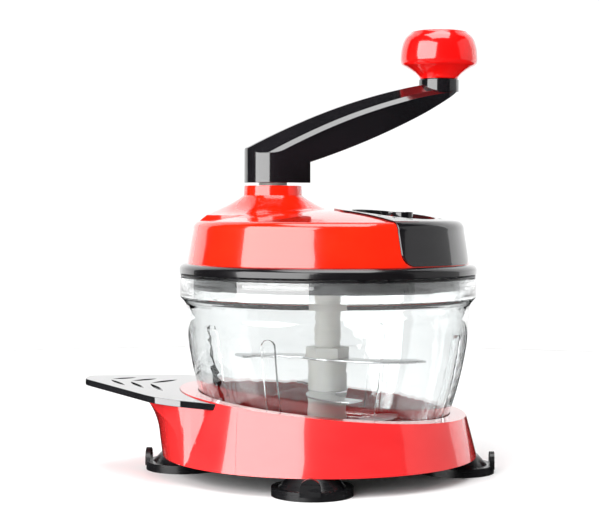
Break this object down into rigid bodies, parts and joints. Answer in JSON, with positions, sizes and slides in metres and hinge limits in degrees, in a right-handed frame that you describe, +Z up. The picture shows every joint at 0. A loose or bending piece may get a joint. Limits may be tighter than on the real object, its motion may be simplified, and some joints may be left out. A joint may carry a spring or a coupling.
{
  "type": "hand cranked food chopper",
  "caption": "Hand-cranked food chopper: clear bowl on a suction base with a grip, geared domed lid with a spout, crank arm with a knob, and a stack of blades inside.",
  "frame": {"origin": "the bowl's axis where it meets the worktop, under the four suction cups' rims", "axes": "+Z up along the bowl's axis; +X away from the carrying grip; -Y towards the side of the front cup"},
  "size_m": [0.2351, 0.2002, 0.2589],
  "materials": {
    "red_plastic": "high-gloss moulded",
    "black_plastic": "high-gloss moulded",
    "clear_plastic": "clear moulded",
    "white_plastic": "satin moulded",
    "black_rubber": "smooth, slightly glossy",
    "steel": "brushed"
  },
  "bodies": {
    "base": {"base_ring": "red_plastic", "base_arm": "red_plastic", "grip_plate": "black_plastic", "grip_screws": "steel", "base_bottom_plate": "black_plastic", "base_screws": "steel", "well_mat": "black_rubber", "suction_cup_right": "black_rubber", "suction_cup_back": "black_rubber", "suction_cup_left": "black_rubber", "suction_cup_front": "black_rubber"},
    "bowl": {"bowl": "clear_plastic", "spindle_pin": "steel"},
    "blade_set": {"blade_hub": "white_plastic", "blade_lower": "steel", "blade_middle": "steel", "blade_upper": "steel", "spacer_lower": "white_plastic", "spacer_upper": "white_plastic", "blade_nut": "white_plastic"},
    "seal": {"lid_seal": "black_rubber"},
    "lid": {"lid_ring": "black_plastic", "lid_cover": "red_plastic", "spout_trim": "black_plastic", "gear_cover": "white_plastic", "lid_screws": "steel", "turret_bush": "white_plastic", "driver_bush_upper": "white_plastic", "driver_bush_lower": "white_plastic"},
    "fill_plug": {"fill_plug": "black_plastic"},
    "driver": {"pinion": "white_plastic", "driver_shaft": "steel", "driver_socket": "white_plastic"},
    "crank": {"crank_gear": "white_plastic", "crank_shaft": "steel", "gear_washer": "steel", "gear_screw": "steel", "spacer_washer": "white_plastic", "crank_arm": "black_plastic", "knob_stud": "steel"},
    "knob": {"knob": "red_plastic", "knob_bush": "white_plastic", "knob_cap": "red_plastic"}
  },
  "joints": [
    {"name": "bowl_lift", "type": "slide", "parent": "base", "child": "bowl", "axis": [0, 0, 1], "range_m": [0, 0.06]},
    {"name": "blade_spin", "type": "hinge", "parent": "bowl", "child": "blade_set", "pos_m": [0, 0, 0.0242], "axis": [0, 0, 1], "continuous": true},
    {"name": "lid_twist", "type": "hinge", "parent": "bowl", "child": "seal", "pos_m": [0, 0, 0.1118], "axis": [0, 0, 1], "range_deg": [0, 20]},
    {"name": "lid_lift", "type": "slide", "parent": "seal", "child": "lid", "axis": [0, 0, 1], "range_m": [0, 0.08]},
    {"name": "fill_plug_lift", "type": "slide", "parent": "lid", "child": "fill_plug", "axis": [0, 0, 1], "range_m": [0, 0.03]},
    {"name": "crank_turn", "type": "hinge", "parent": "lid", "child": "crank", "pos_m": [-0.03346, 0.02282, 0.13], "axis": [0, 0, 1], "continuous": true},
    {"name": "driver_spin", "type": "hinge", "parent": "lid", "child": "driver", "pos_m": [0, 0, 0.13], "axis": [0, 0, 1], "continuous": true},
    {"name": "knob_spin", "type": "hinge", "parent": "crank", "child": "knob", "pos_m": [0.06471, 0.07134, 0.2295], "axis": [0, 0, 1], "continuous": true}
  ],
  "couplings": [
    {"joint": "driver_spin", "follows": "crank_turn", "ratio": -3.5},
    {"joint": "blade_spin", "follows": "crank_turn", "ratio": -3.5}
  ]
}
